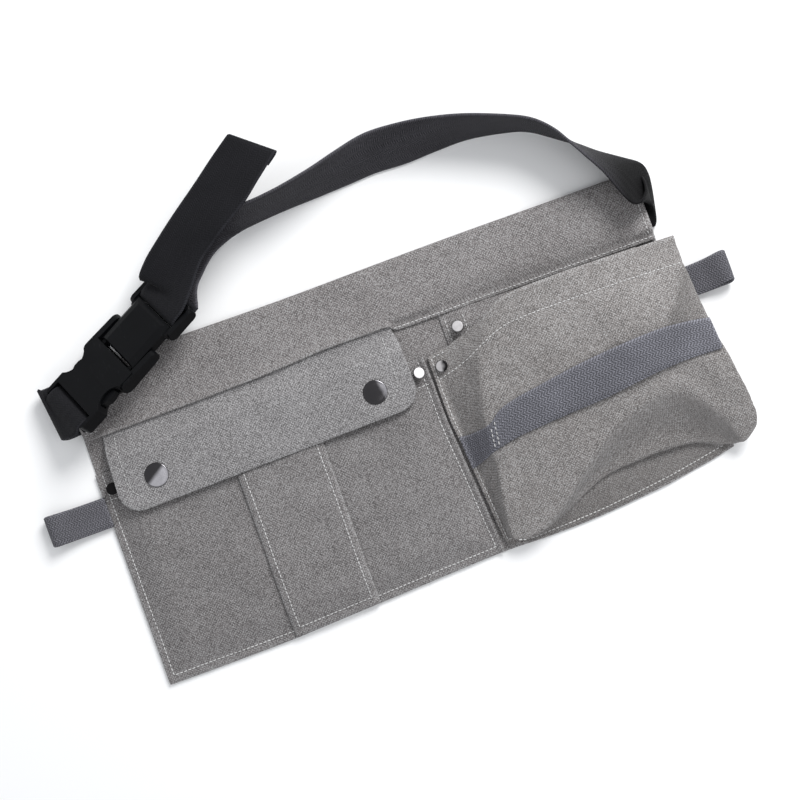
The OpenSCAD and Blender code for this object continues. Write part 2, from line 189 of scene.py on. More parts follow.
def make(name, v, faces, material, uv=None, edge=None, flat=False):
    """Mesh object from points in millimetres"""
    mesh = bpy.data.meshes.new(name)
    mesh.from_pydata((np.asarray(v) * MM).tolist(), [], [list(map(int, f)) for f in faces])
    if uv is not None:
        mesh.uv_layers.new(name="weave").data.foreach_set("uv", np.asarray(uv, np.float32).ravel())
    if edge is not None:
        mesh.attributes.new("edge", "FLOAT", "POINT").data.foreach_set("value", np.asarray(edge, np.float32))
    mesh.validate()
    mesh.shade_flat() if flat else mesh.shade_smooth()
    mesh.materials.append(material)
    obj = bpy.data.objects.new(name, mesh)
    scene.collection.objects.link(obj)
    return obj


def thicken(v, f, uv, edge, t):
    """Closed cloth of thickness t with a rounded rim around a sheet of quads"""
    v = np.asarray(v, float)
    n = vertex_normals(v, f)
    count = len(v)
    turns = ([0, 1], [1, 2], [2, 3], [3, 0])
    sides = np.concatenate([f[:, k] for k in turns])
    side_uv = np.concatenate([uv[:, k] for k in turns])
    of_face = np.tile(np.arange(len(f)), 4)
    key = np.sort(sides, axis=1)
    _, inverse, uses = np.unique(key, axis=0, return_inverse=True, return_counts=True)
    rim = uses[inverse.ravel()] == 1
    sides, of_face, side_uv = sides[rim], of_face[rim], side_uv[rim]
    face_n = np.cross(v[f[:, 2]] - v[f[:, 0]], v[f[:, 3]] - v[f[:, 1]])
    face_n /= np.maximum(np.linalg.norm(face_n, axis=1, keepdims=True), 1e-9)
    out = np.zeros_like(v)
    along = v[sides[:, 1]] - v[sides[:, 0]]
    side_out = np.cross(along, face_n[of_face])
    side_out /= np.maximum(np.linalg.norm(side_out, axis=1, keepdims=True), 1e-9)
    for k in range(2):
        np.add.at(out, sides[:, k], side_out)
    out /= np.maximum(np.linalg.norm(out, axis=1, keepdims=True), 1e-9)
    on_rim = np.unique(sides)
    mid = np.zeros(count, int)
    mid[on_rim] = 2 * count + np.arange(len(on_rim))
    points = np.vstack([v + n * t / 2, v - n * t / 2, v[on_rim] + out[on_rim] * t * 0.45])
    a, b = sides[:, 0], sides[:, 1]
    upper = np.stack([b, a, mid[a], mid[b]], 1)
    lower = np.stack([mid[b], mid[a], a + count, b + count], 1)
    faces = np.vstack([f, f[:, ::-1] + count, upper, lower])
    rim_uv = side_uv[:, [1, 0, 0, 1]]
    uvs = np.concatenate([uv, uv[:, ::-1], rim_uv, rim_uv])
    return points, faces, uvs, np.r_[edge, edge, np.zeros(len(on_rim))]


surfaces = {}  # upper faces of each cloth piece, for what is sewn or set on it


def cloth(name, v, f, uv, edge, t, material):
    points, faces, uvs, edges = thicken(v, f, uv, edge, t)
    count = len(v)
    surfaces[name] = BVHTree.FromPolygons(points[:count].tolist(), f.tolist())
    return make(name, points, faces, material, uvs, edges)


def grid_uv(g):
    """Run of the cloth across and along a grid, in millimetres"""
    across, along = (np.cumsum(np.linalg.norm(np.diff(g, axis=a), axis=2), axis=a) for a in (0, 1))
    return np.pad(across, ((1, 0), (0, 0))), np.pad(along, ((0, 0), (1, 0)))


def grid_cloth(name, g, t, material, plan=False):
    """Cloth on a grid of points. With plan the weave runs with X and Y, and otherwise with the grid."""
    across, along = grid_uv(g)
    edge = np.minimum(np.minimum(across, across[-1:] - across), np.minimum(along, along[:, -1:] - along))
    uv = g[..., :2] if plan else np.stack([across, along], -1)
    faces = grid_faces(*g.shape[:2])
    return cloth(name, g.reshape(-1, 3), faces, uv.reshape(-1, 2)[faces], edge.ravel(), t, material)


def raised(xy, height):
    return np.concatenate([xy, height(xy[..., 0], xy[..., 1])[..., None]], -1)


def drop(on, x, y, top=90):
    """Height and normal of the highest of some pieces at a place"""
    best = None
    for name in on:
        hit, normal, _, _ = surfaces[name].ray_cast(Vector((x, y, top)), Vector((0, 0, -1)))
        if hit is not None and (best is None or hit.z > best[0]):
            best = (hit.z, normal if normal.z > 0 else -normal)
    return best


PITCH, STITCH, THREAD_R = 3.1, 2.2, 0.38


def stitches(name, paths, on, material):
    """Lockstitches along paths in plan, set in the surface of some pieces"""
    verts, faces = [], []
    sides, rings = 6, 5
    for path in paths:
        total = lengths(np.array(path, float))[-1]
        count = max(int(total / PITCH), 1)
        fine = resample(path, count * 4 + 1)
        for k in range(count):
            a, b = fine[4 * k], fine[4 * k + 3]
            ends = [drop(on, *a), drop(on, *b)]
            if None in ends:
                continue
            pa, pb = np.array([*a, ends[0][0]]), np.array([*b, ends[1][0]])
            normal = np.array(ends[0][1]) + np.array(ends[1][1])
            normal /= np.linalg.norm(normal)
            if abs(pa[2] - pb[2]) > 3:
                continue
            along = (pb - pa) / max(np.linalg.norm(pb - pa), 1e-9)
            side = np.cross(along, normal)
            jitter = 0.09 * math.sin(12.9 * k + 3 * path[0][0])
            middle = (pa + pb) / 2 + side * jitter
            base = len(verts)
            for r in range(rings):
                s = r / (rings - 1)
                round_off = math.sin(math.pi * (0.12 + 0.76 * s))
                centre = middle + along * STITCH * (s - 0.5) + normal * (0.4 * round_off - 0.12)
                radius = THREAD_R * (0.45 + 0.55 * round_off)
                for q in range(sides):
                    w = 2 * math.pi * q / sides
                    verts.append(centre + radius * (math.cos(w) * side + math.sin(w) * normal))
            for r in range(rings - 1):
                for q in range(sides):
                    i, j = base + r * sides + q, base + r * sides + (q + 1) % sides
                    faces.append((i, j, j + sides, i + sides))
            faces.append(tuple(base + q for q in reversed(range(sides))))
            faces.append(tuple(base + (rings - 1) * sides + q for q in range(sides)))
    return make(name, np.array(verts), faces, material)


def turned(name, profile, places, material, segments=40):
    """Solids of revolution from a profile of radius and height.

    Each place is a point, a normal, and the painted shade in the middle and how it grows along x and y; a
    dark ring at the rim is painted too.
    """
    verts, faces, tarnish_and_painted_shade = [], [], []
    rim = max(r for r, _ in profile)
    for place, normal, (painted_dark_level, dx, dy) in places:
        n = Vector(normal).normalized()
        x = n.orthogonal().normalized()
        y = n.cross(x)
        base = len(verts)
        for r, h in profile:
            for q in range(segments):
                w = 2 * math.pi * q / segments
                spoke = x * (r * math.cos(w)) + y * (r * math.sin(w))
                verts.append(Vector(place) + n * h + spoke)
                # Painted shade: a dark ring at the rim as the shadow round the cap, and a dark side as a
                # split reflection
                tarnish_and_painted_shade.append(min(max(1 - (rim - r) / 0.9, painted_dark_level + spoke.x * dx + spoke.y * dy, 0), 1))
        for i in range(len(profile) - 1):
            for q in range(segments):
                a, b = base + i * segments + q, base + i * segments + (q + 1) % segments
                faces.append((a, b, b + segments, a + segments))
        faces.append(tuple(base + q for q in reversed(range(segments))))
        faces.append(tuple(base + (len(profile) - 1) * segments + q for q in range(segments)))
    piece = make(name, np.array([list(v) for v in verts]), faces, material)
    values = piece.data.attributes.new("tarnish_and_painted_shade", "FLOAT", "POINT")
    values.data.foreach_set("value", np.array(tarnish_and_painted_shade, np.float32))
    return piece


# ---------- materials ----------

class Paint:
    """Short hand for building a node material"""

    def __init__(self, name):
        self.material = bpy.data.materials.new(name)
        self.material.use_nodes = True
        self.tree = self.material.node_tree
        self.shader = self.tree.nodes["Principled BSDF"]

    def put(self, kind, settings=None, **inputs):
        node = self.tree.nodes.new(kind)
        for key, value in (settings or {}).items():
            setattr(node, key, value)
        for key, value in inputs.items():
            self.plug(node, int(key[1:]) if key[0] == "i" and key[1:].isdigit() else key, value)
        return node

    def plug(self, node, key, value):
        if isinstance(value, bpy.types.NodeSocket):
            self.tree.links.new(value, node.inputs[key])
        else:
            node.inputs[key].default_value = value

    def math(self, op, a, b=0.0):
        return self.put("ShaderNodeMath", {"operation": op}, i0=a, i1=b).outputs[0]

    def times(self, a, b):
        return self.math("MULTIPLY", a, b)

    def plus(self, a, b):
        return self.math("ADD", a, b)

    def remap(self, value, low, high, to_low, to_high):
        return self.put("ShaderNodeMapRange", None, Value=value, i1=low, i2=high, i3=to_low,
                        i4=to_high).outputs[0]

    def place(self):
        return self.put("ShaderNodeTexCoord").outputs["Object"]

    def mix(self, f, a, b):
        return self.put("ShaderNodeMix", {"data_type": "RGBA"}, i0=f, i6=a, i7=b).outputs[2]

    def noise(self, at, scale, detail=2.0, rough=0.55):
        return self.put("ShaderNodeTexNoise", None, Vector=at, Scale=scale, Detail=detail,
                        Roughness=rough).outputs[0]

    def stretch(self, at, x, y):
        return self.put("ShaderNodeMapping", None, Vector=at, Scale=(x, y, 1)).outputs[0]

    def uv(self):
        return self.put("ShaderNodeUVMap", {"uv_map": "weave"}).outputs[0]

    def near_edge(self, reach):
        """1 on the cloth's edge, falling to 0 at reach millimetres"""
        edge = self.put("ShaderNodeAttribute", {"attribute_name": "edge"}).outputs["Fac"]
        return self.remap(edge, 0.0, reach, 1.0, 0.0)

    def ramp(self, at, stops):
        node = self.put("ShaderNodeValToRGB", None, Fac=at)
        ends = node.color_ramp.elements
        while len(ends) < len(stops):
            ends.new(0.5)
        for spot, (place, colour) in zip(ends, stops):
            spot.position = place
            spot.color = (*colour, 1)
        return node.outputs[0]

    def bump(self, height, distance, strength=1.0, normal=None):
        node = self.put("ShaderNodeBump", None, Height=height, Distance=distance, Strength=strength)
        if normal is not None:
            self.plug(node, "Normal", normal)
        return node.outputs[0]

    def finish(self, **sockets):
        for key, value in sockets.items():
            self.plug(self.shader, key.replace("_", " "), value)
        return self.material


def grey(value, tint=(1, 1, 1)):
    return tuple(value * c for c in tint)


def plain_weave(p, at, pitch):
    """Height of a plain weave and which of the two yarns is on top"""
    parts = p.put("ShaderNodeSeparateXYZ", None, Vector=at).outputs
    su = p.math("SINE", p.times(parts[0], math.pi / pitch))
    sv = p.math("SINE", p.times(parts[1], math.pi / pitch))
    over = p.math("MULTIPLY_ADD", p.times(su, sv), 0.5)
    over.node.inputs[2].default_value = 0.5
    warp = p.times(p.math("ABSOLUTE", su), over)
    weft = p.times(p.math("ABSOLUTE", sv), p.math("SUBTRACT", 1.0, over))
    return p.plus(warp, weft), over


YARN = 1.1
GRAIN = 0.55


def canvas(name, level, tint, seed, wear=0.35):
    """Washed heather canvas: plain weave, uneven yarns, flecks, soft blotches and pale worn edges"""
    p = Paint(name)
    at = p.put("ShaderNodeMapping", None, Vector=p.uv(), Location=(37.0 * seed, 19.0 * seed, 0)).outputs[0]
    wobble = p.put("ShaderNodeTexNoise", None, Vector=at, Scale=0.11, Detail=2.0).outputs["Color"]
    bent = p.put("ShaderNodeVectorMath", {"operation": "MULTIPLY_ADD"}, i0=wobble, i1=(1.6, 1.6, 0),
                 i2=at).outputs[0]
    height, over = plain_weave(p, bent, YARN)
    warp = p.noise(p.stretch(bent, 1.15, 0.1), 1.0, 2.0)
    weft = p.noise(p.stretch(bent, 0.1, 1.15), 1.0, 2.0)
    yarn = p.put("ShaderNodeMix", {"data_type": "FLOAT"}, i0=over, i2=weft, i3=warp).outputs[0]
    fleck = p.noise(at, 1.5, 2.0, 0.7)
    cell = p.put("ShaderNodeVectorMath", {"operation": "SNAP"}, i0=bent, i1=(GRAIN, GRAIN, 1.0)).outputs[0]
    grain = p.put("ShaderNodeTexWhiteNoise", {"noise_dimensions": "2D"}, Vector=cell).outputs[0]
    blotch = p.noise(at, 0.03, 3.0, 0.6)
    cloud = p.noise(at, 0.008, 2.0, 0.5)

    shade = 0.5
    for what, gain, centre in ((over, 0.5, 0.5), (yarn, 0.2, 0.5), (fleck, 0.25, 0.5), (grain, 0.8, 0.5),
                               (blotch, 0.26, 0.5), (cloud, 0.24, 0.5), (height, 0.42, 0.62)):
        shade = p.plus(shade, p.times(p.math("SUBTRACT", what, centre), gain))
    rub = p.times(p.near_edge(2.2), p.noise(at, 0.35, 2.0))
    shade = p.plus(shade, p.times(rub, wear))
    colour = p.ramp(shade, [(0.0, grey(level * 0.38, tint)), (0.32, grey(level * 0.74, tint)),
                            (0.5, grey(level, tint)), (0.7, grey(level * 1.33, tint)),
                            (1.0, grey(level * 1.95, (1, 1, 1)))])
    # Painted shade: where a mesh carries this attribute, the colour darkens towards a shadowed grey
    painted_fold_shade = p.put("ShaderNodeAttribute", {"attribute_name": "painted_fold_shade"}).outputs["Fac"]
    colour = p.mix(p.times(painted_fold_shade, 0.5), colour, grey(level * 0.35, tint) + (1,))
    slub = p.plus(p.times(height, 0.6), p.times(yarn, 0.6))
    fine = p.bump(slub, 0.00022, 0.8)
    crumple = p.bump(p.noise(at, 0.16, 3.0, 0.6), 0.0009, 0.36, fine)
    rough = p.remap(shade, 0.0, 1.0, 0.97, 0.82)
    return p.finish(Base_Color=colour, Roughness=rough, Normal=crumple, Sheen_Weight=0.12,
                    Sheen_Roughness=0.6,
                    Specular_IOR_Level=0.25)


def webbing(name, level, tint, pitch, wale, contrast, depth, wear, gloss, seed, paler_along_run=None):
    """Herringbone webbing: slanting ribs that turn back at each wale, with bright worn edges"""
    p = Paint(name)
    at = p.put("ShaderNodeMapping", None, Vector=p.uv(), Location=(0, 13.0 * seed, 0)).outputs[0]
    parts = p.put("ShaderNodeSeparateXYZ", None, Vector=at).outputs
    slant = p.math("PINGPONG", parts[0], wale)
    ribs = p.math("SINE", p.times(p.plus(parts[1], slant), 2 * math.pi / pitch))
    cross = p.math("SINE", p.times(parts[0], 2 * math.pi / (pitch * 0.62)))
    height = p.plus(p.times(ribs, 0.36), p.times(cross, 0.14))
    fibre = p.noise(p.stretch(at, 0.9, 0.4), 2.0, 3.0, 0.7)
    fleck = p.noise(at, 0.9, 2.0, 0.7)
    blotch = p.noise(at, 0.03, 2.0)
    shade = p.plus(0.5, p.times(height, contrast))
    for what, gain in ((fibre, 0.9 * contrast), (fleck, 1.6 * contrast), (blotch, 0.4)):
        shade = p.plus(shade, p.times(p.math("SUBTRACT", what, 0.5), gain))
    rub = p.times(p.near_edge(1.3), p.noise(at, 0.5, 2.0))
    shade = p.plus(shade, p.times(rub, wear))
    colour = p.ramp(shade, [(0.0, grey(level * 0.35, tint)), (0.5, grey(level, tint)),
                            (0.75, grey(level * 1.5, tint)), (1.0, grey(level * 2.4, tint))])
    # Colour scaled along the run from 1 at start to gain at end: with a low level this is painted shade at
    # the sewn end, growing paler along the run
    if paler_along_run:
        start, end, gain = paler_along_run
        out = p.remap(parts[1], start + 13.0 * seed, end + 13.0 * seed, 1.0, gain)
        colour = p.put("ShaderNodeVectorMath", {"operation": "SCALE"}, i0=colour, Scale=out).outputs[0]
    normal = p.bump(height, depth, 0.9, p.bump(fibre, 0.00012, 0.6))
    rough = p.remap(fibre, 0.2, 0.8, gloss + 0.12, gloss - 0.06)
    return p.finish(Base_Color=colour, Roughness=rough, Normal=normal, Sheen_Weight=0.03,
                    Sheen_Roughness=0.45,
                    Specular_IOR_Level=0.12)


def plastic(name):
    """Black acetal: satin with a faint moulding grain and small scuffs"""
    p = Paint(name)
    at = p.place()
    grain = p.noise(at, 2200.0, 2.0)
    flow = p.noise(at, 60.0, 3.0)
    scuff = p.noise(p.put("ShaderNodeMapping", None, Vector=at, Scale=(900, 90, 300),
                          Rotation=(0, 0, math.radians(28))).outputs[0], 1.0, 2.0)
    marks = p.remap(scuff, 0.63, 0.74, 0.0, 1.0)
    colour = p.ramp(p.plus(p.times(flow, 0.6), p.times(marks, 0.5)),
                    [(0.0, (0.002, 0.0022, 0.0026)), (0.5, (0.0032, 0.0034, 0.0042)),
                     (1.0, (0.011, 0.0115, 0.013))])
    rough = p.plus(p.times(flow, 0.2), p.times(marks, 0.12))
    rough = p.plus(rough, 0.3)
    return p.finish(Base_Color=colour, Roughness=rough, Normal=p.bump(grain, 0.00003, 0.5),
                    Specular_IOR_Level=0.12)


def metal(name, low, high, dark, rough_low, rough_high, seed):
    """Plated metal: brushed, with tarnish and fine scratches, darkened by painted shade from the mesh"""
    p = Paint(name)
    at = p.place()
    moved = p.put("ShaderNodeMapping", None, Vector=at, Location=(seed, 0, 0)).outputs[0]
    tarnish_and_painted_shade = p.noise(moved, 240.0, 4.0, 0.65)
    brushed = p.put("ShaderNodeMapping", None, Vector=moved, Scale=(2600, 260, 260)).outputs[0]
    hair = p.noise(brushed, 1.0, 3.0)
    # Painted shade and painted reflection split, read from the mesh, mixed towards the dark colour
    painted_dark_level = p.put("ShaderNodeAttribute", {"attribute_name": "tarnish_and_painted_shade"}).outputs["Fac"]
    colour = p.mix(painted_dark_level, p.ramp(tarnish_and_painted_shade, [(0.3, low), (0.7, high)]), (dark, dark * 0.95, dark, 1))
    rough = p.remap(p.times(hair, tarnish_and_painted_shade), 0.1, 0.45, rough_low, rough_high)
    return p.finish(Base_Color=colour, Roughness=rough, Metallic=1.0, Normal=p.bump(hair, 0.00002, 0.35))


def thread(name, gain):
    """Twisted polyester thread, off white"""
    p = Paint(name)
    at = p.place()
    wave = p.put("ShaderNodeTexWave", {"bands_direction": "DIAGONAL"}, Vector=at, Scale=900.0, Distortion=1.5)
    twist = wave.outputs["Fac"]
    dirt = p.noise(at, 90.0, 3.0)
    colour = p.ramp(p.plus(p.times(dirt, 0.8), p.times(twist, 0.2)),
                    [(0.15, grey(0.36 * gain)), (0.5, grey(0.6 * gain, (1, 0.99, 0.98))),
                     (0.85, grey(0.78 * gain))])
    return p.finish(Base_Color=colour, Roughness=0.75, Normal=p.bump(twist, 0.0001, 0.5), Sheen_Weight=0.15)


def pale_floor(name):
    p = Paint(name)
    at = p.place()
    colour = p.ramp(p.noise(at, 3.0, 2.0), [(0.3, (0.93, 0.93, 0.93)), (0.7, (0.95, 0.95, 0.95))])
    return p.finish(Base_Color=colour, Roughness=0.9)


CANVAS = canvas("canvas", 0.19, (1.046, 0.975, 0.965), 1)
LINING = canvas("lining_canvas", 0.17, (1.04, 0.98, 0.975), 2)
FLAP_CANVAS = canvas("flap_canvas", 0.206, (1.015, 0.975, 0.985), 3, 0.3)
POUCH_CANVAS = canvas("pouch_canvas", 0.2, (1.045, 0.975, 0.945), 4)
POCKET_CANVAS = canvas("pocket_canvas", 0.165, (1.04, 0.975, 0.97), 5)
STRIP_CANVAS = canvas("strip_canvas", 0.17, (1.04, 0.975, 0.97), 6)
GREY_WEB = webbing("grey_webbing", 0.13, (0.95, 0.95, 1.08), 2.3, 2.4, 0.72, 0.0004, 0.3, 0.8, 1)
LOOP_WEB = webbing("loop_webbing", 0.103, (0.96, 0.95, 1.06), 2.0, 2.1, 0.7, 0.0004, 0.3, 0.8, 3)
BLACK_WEB = webbing("black_webbing", 0.0095, (0.97, 0.97, 1.15), 1.6, 3.2, 0.5, 0.0002, 0.9, 0.75, 2)
# Strap arc: the black webbing at a lower level, painted shade where its fold faces the key light, paling
# along the run
ARC_PAINTED_SHADE_WEB = webbing("arc_painted_shade_webbing", 0.003, (1.0, 0.97, 1.1), 1.6, 3.2, 0.85, 0.0002, 0.9, 0.75, 4,
                   (60, 115, 11.5))
PLASTIC = plastic("buckle_plastic")
SNAP_METAL = metal("snap_metal", (0.52, 0.505, 0.53), (0.64, 0.62, 0.65), 0.06, 0.2, 0.34, 0.0)
RIVET_METAL = metal("rivet_metal", (0.47, 0.455, 0.46), (0.55, 0.535, 0.54), 0.014, 0.42, 0.6, 3.0)
THREAD = thread("thread", 1.0)
FLAP_THREAD = thread("flap_thread", 0.75)


def sew(piece, body, slot, *nodes):
    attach(piece, body)
    if nodes:
        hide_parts(*nodes)
    return piece


# ---------- sewing lines in plan ----------

POCKET_SIDES = [(-212.5, 41), (-213, -113), (-119, -112.6), (38, -105), (31, -6), (30.8, 23), (30, 41)]
POCKET_SEAM = [(-208, 40), (-208.6, -108), (-119, -107.9), (33.2, -100.6), (26.4, -6), (26, 40)]
POCKET_HEM = [(-212, 22), (29, 22)]
POCKET_RIGHT = POCKET_SIDES[3:]
STRIP_SIDES = [(-118, 40), (-118.5, -111.6), (-56, -109.2), (-55, 40)]
STRIP_SEAM = [(-113.8, 39), (-114.3, -106), (-60.3, -103.8), (-59.3, 39)]
RIVETS = [(-203.5, 29), (24, 31.6), (40.4, 30.8), (60.3, 53), (187, 53)]
SNAPS = [(-170.6, 27.6), (-9, 29.5)]
TAB_SEAM = [(53.6, 60), (53.6, 42.6), (72, 42.6)]


def groove(x, y, path, depth=0.35, width=1.3):
    return -depth * bell(far_from(x, y, path), width)


def dimple(x, y, places, depth, width):
    total = 0
    for px, py in places:
        total = total - depth * bell(np.hypot(x - px, y - py), width)
    return total


# ---------- back panel ----------

BACK_T = 1.1
back_bottom = spline([(-213, -113.4), (-165, -113.3), (-119, -112.6), (-50, -109.4), (33, -105.6), (72, -106),
                      (110, -105), (155, -101), (186, -96.5), (213.5, -91.2)])


def back_height(x, y):
    free = smooth(18, 0, far_from(x, y, back_bottom[::8]))
    wave = 0.5 + 0.5 * ripple(x, y, 46, 2)
    return 0.62 + 0.9 * free * wave * smooth(30, 60, x) + 0.12 * free


back_xy = patch(back_bottom, [(-211.5, 74), (211, 74)], [(-213, -113.4), (-211.5, 74)],
                [(213.5, -91.2), (213.2, 0), (211, 74)], 150, 66)
back = grid_cloth("back_panel_cloth", raised(back_xy, back_height), BACK_T, CANVAS, plan=True)
sew(back, "root", "canvas", "back_panel")

# ---------- waistband: one strip folded over at the top ----------

BAND_T = 1.1
band_section = spline([(64.6, 5.3), (66.4, 5.5), (69, 5.2), (73, 5.85), (82, 6.0), (96, 6.05), (107, 5.9),
                       (111.4, 5.1), (112.7, 3.2), (111.2, 1.3), (107, 0.75), (92, 0.62), (80, 0.62),
                       (69.5, 1.75)], 8)
band_n = 150
band_x = np.linspace(-211, 211, band_n)
section = resample(band_section, 72)
band = np.zeros((band_n, len(section), 3))
bx, by, bz = band[..., 0], band[..., 1], band[..., 2]  # views, which follow each move
bx[:] = band_x[:, None]
by[:] = section[None, :, 0]
bz[:] = section[None, :, 1]
front_side = smooth(2.2, 4.6, bz)
top_share = smooth(80, 112, by)
# Lower edge: higher over the flap, whose right half draws it up
edge_shift = np.interp(bx, *zip((-211, 1.4), (-126, 1.9), (-79, 2.6), (-55, 3.8), (-34, 5.2), (15, 5.0),
                                          (19, 0.8), (211, -0.9)))
by += edge_shift * (1 - smooth(66, 96, by)) * front_side
by += 0.9 * top_share * ripple(bx, 0 * bx, 120, 5)
BAND_SEAM_Y = [(17, 67), (210, 65.6)]
bz += front_side * (0.45 * ripple(bx, by, 62, 3) * smooth(70, 84, by)
                              + 0.22 * ripple(bx, by * 0.3, 17, 4) * smooth(84, 68, by))
over_flap = smooth(-203, -198, bx) * smooth(19, 15, bx)
near_edge = front_side * (1 - smooth(66.5, 73, section[None, :, 0]))
lower_part = front_side * (1 - smooth(65, 84, section[None, :, 0]))
over_pocket = smooth(48, 52, bx) * smooth(198, 194, bx)
bz += near_edge * (1.5 * over_flap - 2.6 * (1 - over_pocket) * (1 - over_flap))
bz -= lower_part * 1.7 * over_pocket
bz += front_side * groove(bx, by, BAND_SEAM_Y, 0.2, 1.2)
END_SEAMS = [[(-207.5, 71), (-207.5, 111)], [(207.5, 68), (207.5, 111)]]
for seam in END_SEAMS:
    bz += front_side * groove(bx, by, seam, 0.45, 1.4)
waistband = grid_cloth("waistband_cloth", band, BAND_T, CANVAS)
sew(waistband, "root", "canvas", "waistband")

# ---------- left pocket and its tool strip ----------

POCKET_T = 1.15


def pocket_height(x, y):
    d = far_from(x, y, POCKET_SIDES)
    rise = 1.85 + 4.45 * smooth(3, 24, d) ** 0.85
    crest = 0.55 * smooth(3, 24, d)
    rise = rise + crest * ripple(x, y, 74, 1) + 0.4 * crest * ripple(x, y, 31, 6)
    rise = rise + 0.35 * smooth(22, 23.5, y)
    rise = rise + groove(x, y, POCKET_SEAM, 0.32, 1.3) + groove(x, y, POCKET_HEM, 0.34, 1.3)
    rise = rise + 0.16 * ripple(x, y, 11, 3) * smooth(9, 4, d) + 0.25 * bell(d - 2, 1.5)
    rise = rise - 0.5 * bell(x + 22, 9) * smooth(24, -10, y) * smooth(-100, -60, y)
    rise = rise + 2.1 * bell(far_from(x, y, POCKET_RIGHT), 2.4)
    return rise + dimple(x, y, RIVETS[:2], 0.5, 6)


pocket_xy = patch(POCKET_SIDES[1:4], [(-212.5, 41.3), (-90, 40.6), (30, 41.2)],
                  [(-213, -113), (-212.5, 41.3)], [(38, -105), (31, -6), (30.8, 23), (30, 41.2)], 150, 80)
pocket = grid_cloth("left_pocket_cloth", raised(pocket_xy, pocket_height), POCKET_T, POCKET_CANVAS, plan=True)
sew(pocket, "root", "canvas", "left_pocket")


def strip_height(x, y):
    d = far_from(x, y, STRIP_SIDES)
    lift = 1.75 + 1.1 * smooth(0, 3.5, d) + groove(x, y, STRIP_SEAM, 0.4, 1.2)
    lift = lift + 0.35 * ripple(x, y, 44, 7) * smooth(2, 14, d) + 0.1 * ripple(x, y, 9, 2)
    return pocket_height(x, y) + lift


strip_xy = patch(STRIP_SIDES[1:3], [(-118, 39), (-55, 39)], [STRIP_SIDES[1], (-118, 39)],
                 [STRIP_SIDES[2], (-55, 39)],
                 40, 84)
strip = grid_cloth("centre_strip_cloth", raised(strip_xy, strip_height), 1.6, STRIP_CANVAS, plan=True)
sew(strip, "root", "canvas", "centre_strip")

# ---------- flap ----------

FLAP_R = 15
FLAP_X0, FLAP_X1, FLAP_Y0, FLAP_Y1 = -200.2, 18.3, 7.8, 10.9
HINGE_Z, FLAP_Z = 4.4, 11.2
flap_bottom = (arc(FLAP_X0 + FLAP_R, FLAP_Y0 + FLAP_R, FLAP_R, 180, 270)
               + arc(FLAP_X1 - FLAP_R, FLAP_Y1 + FLAP_R, FLAP_R, 270, 360))
FLAP_TOP = 73
FLAP_SEAMS = [[(-190.8, 62), (-191.2, 42), (-192, 29), (-189.5, 21), (-184, 15.8)],
              [(8, 63), (8, 32), (5.6, 25), (-0.5, 19.5)]]


def flap_height(x, y):
    slope = smooth(64, 49, y)
    base = 3.9 + (FLAP_Z - 3.9) * slope
    d = far_from(x, y, flap_bottom)
    body = smooth(62, 48, y)
    base = base + body * (0.35 * ripple(x, y, 85, 8) + 0.1 * ripple(x, y, 33, 4))
    for seam in FLAP_SEAMS:
        base = base + body * groove(x, y, seam, 0.32, 1.3)
    base = base + 0.22 * body * bell(d - 4, 2.6) - 0.35 * smooth(3, 0, d)
    return base + body * dimple(x, y, SNAPS, 0.55, 11)


def flap_grid(lift, inset):
    top_left, top_right = (-197.6, FLAP_TOP), (14.6, FLAP_TOP)
    g = patch(flap_bottom, [top_left, top_right], [flap_bottom[0], top_left],
              [flap_bottom[-1], (18.3, 43), (17.6, 58), top_right], 128, 40)
    middle = np.array([(FLAP_X0 + FLAP_X1) / 2, 40.0])
    g = middle + (g - middle) * np.array([1 - inset / 105, 1 - inset / 27])
    return raised(g, lambda x, y: flap_height(x, y) + lift)


flap = grid_cloth("flap_cloth", flap_grid(0.5, 0), 1.0, FLAP_CANVAS, plan=True)
lining = grid_cloth("flap_lining_cloth", flap_grid(-0.52, 0.5), 0.95, LINING, plan=True)
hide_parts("flap")
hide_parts("flap_lining")

# ---------- inner pocket behind the pouch ----------


def inner_height(x, y):
    d = np.minimum(np.minimum(x - 50.5, 196 - x), y + 45)
    rise = 4.3 * smooth(2, 20, d) ** 0.85 + 0.4 * smooth(2, 20, d) * ripple(x, y, 52, 3)
    rise = 1.85 + rise * (1 - 0.75 * smooth(50, 63, y))
    rise = rise + groove(x, y, TAB_SEAM, 0.35, 1.2) + 0.2 * bell(d - 1.5, 1.2)
    return rise + dimple(x, y, RIVETS[3:], 0.4, 5)


inner_xy = patch([(50.5, -45), (196, -45)], [(50.8, 67.5), (196, 66.5)], [(50.5, -45), (50.8, 67.5)],
                 [(196, -45), (196, 66.5)], 56, 44)
inner = grid_cloth("inner_pocket_cloth", raised(inner_xy, inner_height), 1.2, CANVAS, plan=True)
sew(inner, "root", "canvas", "inner_pocket")

# ---------- bellows pouch: one shell from the sewn flange over the folds to the front ----------

